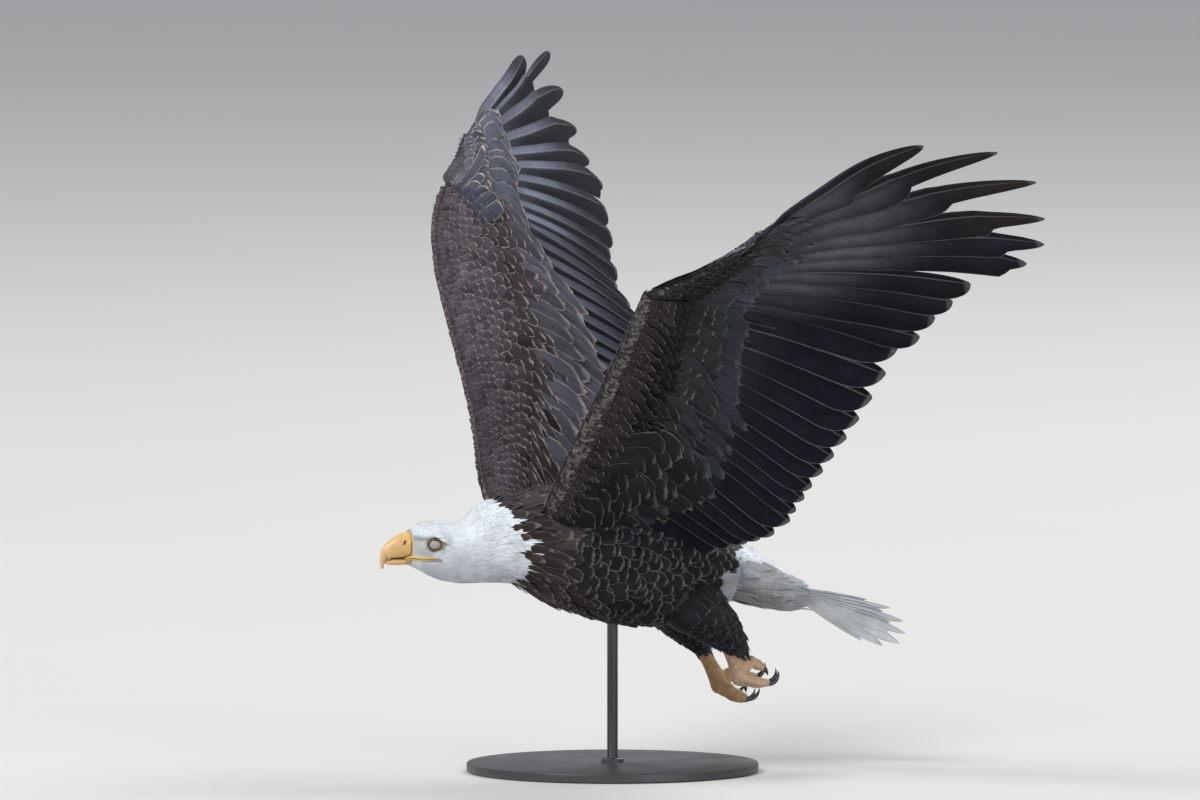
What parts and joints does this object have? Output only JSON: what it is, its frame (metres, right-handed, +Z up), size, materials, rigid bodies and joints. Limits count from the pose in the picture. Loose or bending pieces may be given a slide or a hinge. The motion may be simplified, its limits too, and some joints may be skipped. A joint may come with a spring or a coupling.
{
  "type": "bald eagle in flight",
  "caption": "Still life-size bald eagle in flight, wings raised and legs trailing, banked on a round display stand with a rod.",
  "frame": {"origin": "centre of the underside of the stand's round base", "axes": "+Z up, -X the way the bird faces, so -Y is its left side"},
  "size_m": [0.7092, 1.6104, 0.9017],
  "materials": {
    "white_plumage": "soft white feathers with cool grey shading",
    "dark_plumage": "blackish-brown feathers with thin paler edges",
    "wing_plumage": "dark grey-brown flight feathers and coverts, slight sheen",
    "bill_horn": "satin yellow-orange horn",
    "foot_skin": "matt scaly ochre skin",
    "talon_horn": "glossy black horn",
    "eye": "wet, milky lid over a dark rim",
    "stand_metal": "satin charcoal paint on steel"
  },
  "bodies": {
    "root": {"alula_left": "wing_plumage", "alula_right": "wing_plumage", "bill_lower": "bill_horn", "bill_upper": "bill_horn", "eye_left": "eye", "eye_right": "eye", "head": "white_plumage", "neck": "white_plumage", "primary_05_left": "wing_plumage", "primary_05_right": "wing_plumage", "primary_06_left": "wing_plumage", "primary_06_right": "wing_plumage", "primary_07_left": "wing_plumage", "primary_07_right": "wing_plumage", "primary_08_left": "wing_plumage", "primary_08_right": "wing_plumage", "primary_09_left": "wing_plumage", "primary_09_right": "wing_plumage", "primary_10_left": "wing_plumage", "primary_10_right": "wing_plumage", "rump": "white_plumage", "stand_base": "stand_metal", "stand_rod": "stand_metal", "tail": "white_plumage", "talon_hind_left": "talon_horn", "talon_hind_right": "talon_horn", "talon_inner_left": "talon_horn", "talon_inner_right": "talon_horn", "talon_middle_left": "talon_horn", "talon_middle_right": "talon_horn", "talon_outer_left": "talon_horn", "talon_outer_right": "talon_horn", "tarsus_left": "foot_skin", "tarsus_right": "foot_skin", "thigh_left": "dark_plumage", "thigh_right": "dark_plumage", "toe_hind_left": "foot_skin", "toe_hind_right": "foot_skin", "toe_inner_left": "foot_skin", "toe_inner_right": "foot_skin", "toe_middle_left": "foot_skin", "toe_middle_right": "foot_skin", "toe_outer_left": "foot_skin", "toe_outer_right": "foot_skin", "trunk": "dark_plumage", "wing_arm_left": "wing_plumage", "wing_arm_right": "wing_plumage", "wing_hand_left": "wing_plumage", "wing_hand_right": "wing_plumage", "wing_primaries_left": "wing_plumage", "wing_primaries_right": "wing_plumage", "wing_secondaries_left": "wing_plumage", "wing_secondaries_right": "wing_plumage"}
  },
  "joints": []
}
